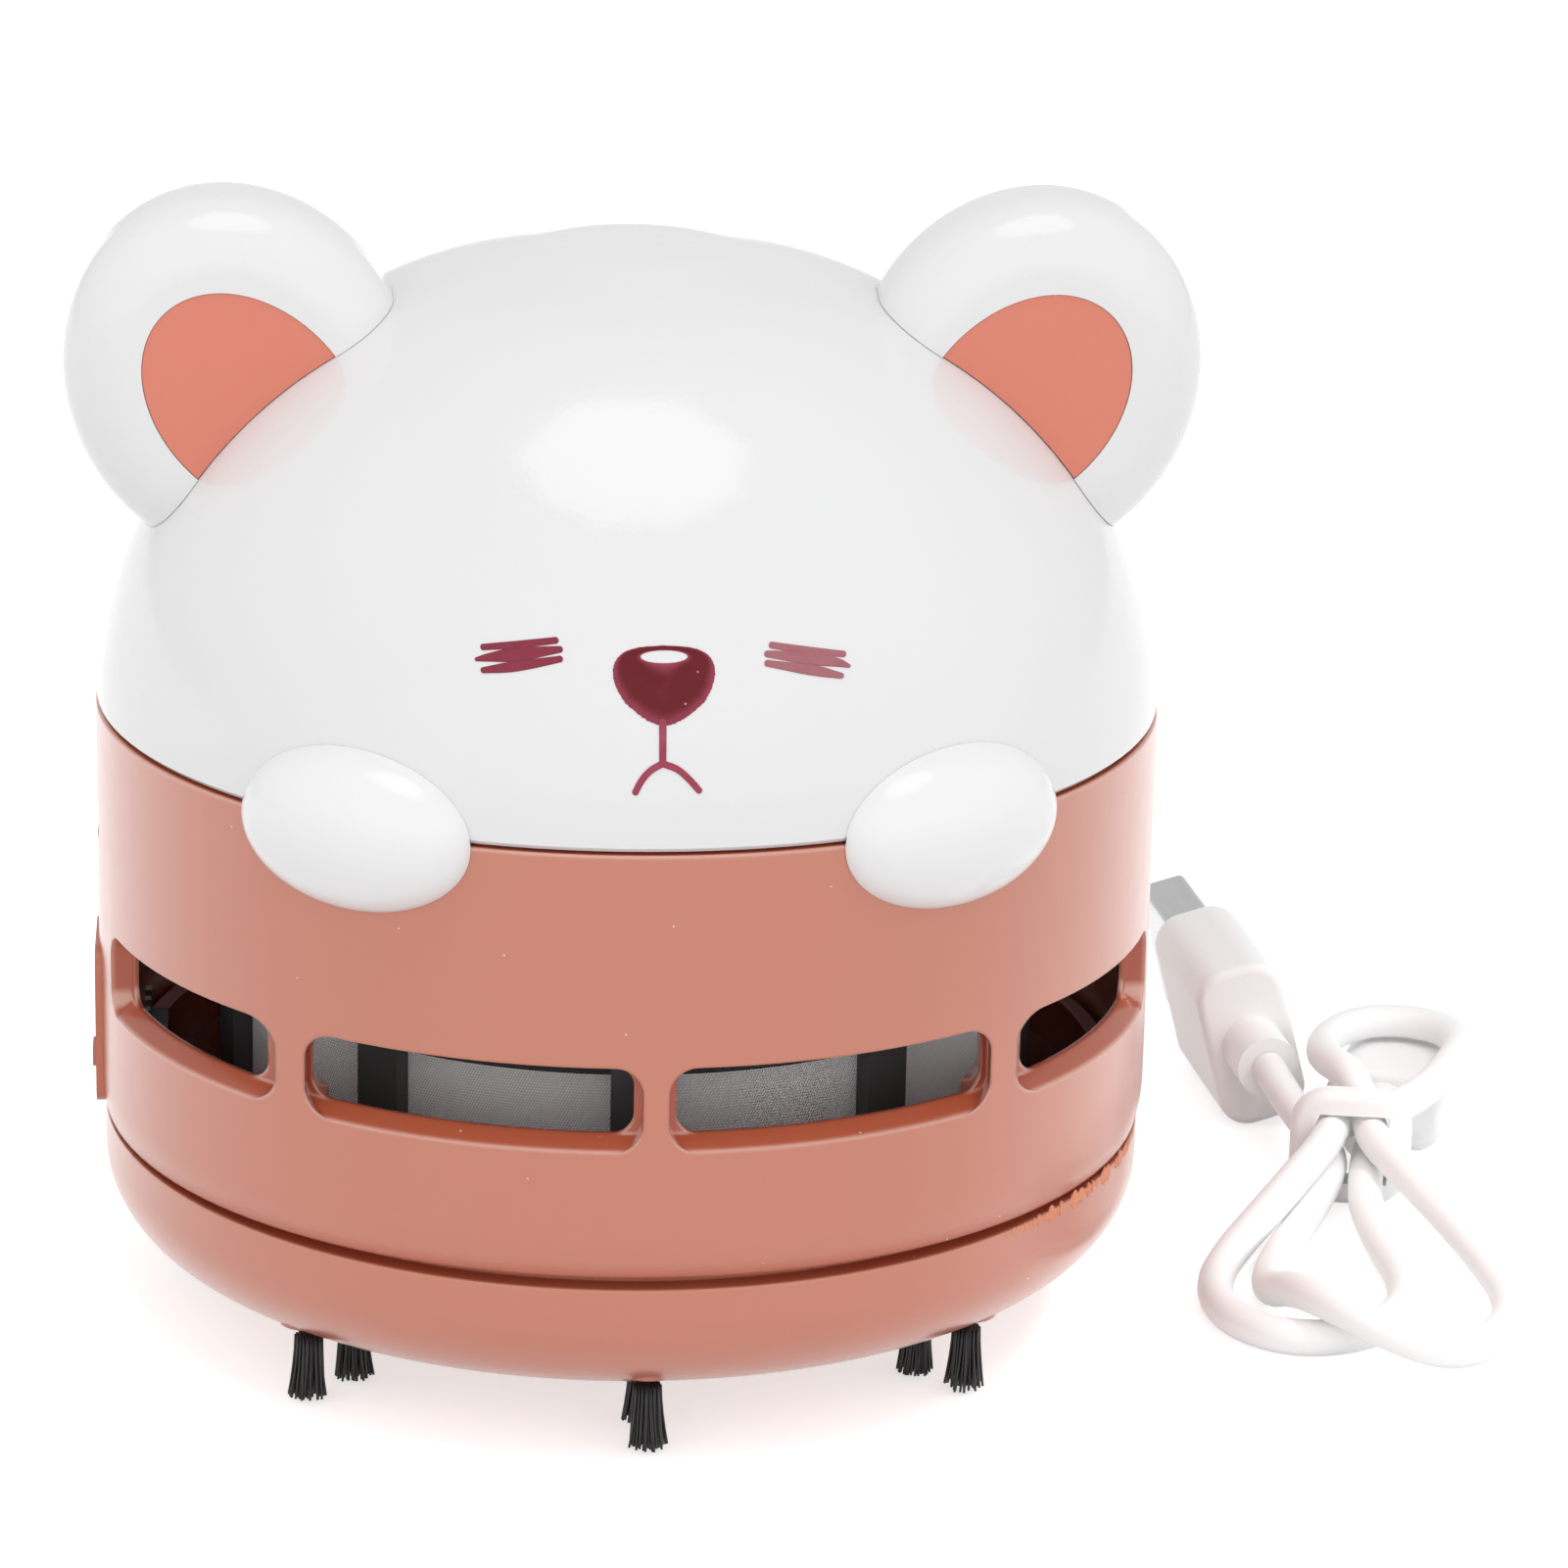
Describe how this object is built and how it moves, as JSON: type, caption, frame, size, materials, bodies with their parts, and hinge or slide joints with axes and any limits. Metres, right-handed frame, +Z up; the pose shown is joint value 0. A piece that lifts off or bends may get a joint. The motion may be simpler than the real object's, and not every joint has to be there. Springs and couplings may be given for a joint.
{
  "type": "desktop mini vacuum cleaner",
  "caption": "Round desktop vacuum cleaner with a bear's head for a lid, exhaust slots over a mesh filter, a brush rim underneath and a tied charging cable.",
  "frame": {"origin": "on the desk under the middle of the round housing, at the tips of the bristles", "axes": "+Z up, the bear's face towards -Y, +X to the right seen from the front"},
  "size_m": [0.1252, 0.1046, 0.093],
  "materials": {
    "cover_salmon": "smooth salmon pink moulded plastic",
    "dome_white": "glossy white moulded plastic",
    "ear_white": "glossy white moulded plastic",
    "salmon": "smooth salmon pink moulded plastic",
    "salmon_inset": "smooth salmon pink moulded plastic",
    "paw_white": "glossy white moulded plastic",
    "bristle": "black nylon bristles",
    "cage_black": "matt black moulded plastic",
    "mesh_grey": "fine grey woven filter mesh",
    "seal_foam": "soft black sealing ring",
    "switch_black": "black moulded plastic",
    "knob_salmon": "pale salmon moulded plastic",
    "contact_brass": "stamped brass",
    "carrier_white": "plain white moulded plastic",
    "motor_steel": "zinc plated drawn steel",
    "motor_cap": "off-white moulded plastic",
    "shaft_steel": "ground steel",
    "impeller_white": "white moulded plastic",
    "cell_wrap": "blue shrink sleeve",
    "board_green": "green solder mask",
    "port_steel": "nickel plated steel",
    "chip_black": "black epoxy",
    "screw_zinc": "zinc plated steel",
    "cable_white": "soft white cable sleeve",
    "plug_white": "soft white overmoulding",
    "plug_steel": "nickel plated steel",
    "tongue_white": "white moulded plastic"
  },
  "bodies": {
    "base": {"bottom_cover": "cover_salmon", "brush_tufts": "bristle", "filter_cage": "cage_black", "filter_mesh": "mesh_grey", "cable_loops": "cable_white", "cable_top_loop": "cable_white", "cable_lead_a": "cable_white", "cable_lead_micro": "cable_white", "cable_tie": "plug_white", "usb_a_grip": "plug_white", "usb_a_metal": "plug_steel", "usb_a_tongue": "tongue_white", "micro_grip": "plug_white", "micro_metal": "plug_steel"},
    "housing": {"filter_seal": "seal_foam", "housing": "salmon", "side_panel": "salmon", "switch_body": "switch_black", "switch_pins": "contact_brass", "top_cover": "dome_white", "ear_left": "ear_white", "ear_right": "ear_white", "ear_inset_left": "salmon_inset", "ear_inset_right": "salmon_inset", "paw_left": "paw_white", "paw_right": "paw_white", "motor_carrier": "carrier_white", "motor_can": "motor_steel", "motor_end_cap": "motor_cap", "motor_terminals": "contact_brass", "lithium_cell": "cell_wrap", "charging_board": "board_green", "charging_port": "port_steel", "board_parts": "chip_black", "case_screws": "screw_zinc"},
    "rotor": {"motor_shaft": "shaft_steel", "impeller": "impeller_white"},
    "switch": {"switch_knob": "knob_salmon"}
  },
  "joints": [
    {"name": "housing_lift", "type": "slide", "parent": "base", "child": "housing", "axis": [0, 0, 1], "range_m": [0, 0.045]},
    {"name": "impeller_spin", "type": "hinge", "parent": "housing", "child": "rotor", "pos_m": [0, 0, 0.03], "axis": [0, 0, 1], "continuous": true},
    {"name": "power_switch", "type": "slide", "parent": "housing", "child": "switch", "axis": [0, 1, 0], "range_m": [0, 0.002]}
  ]
}
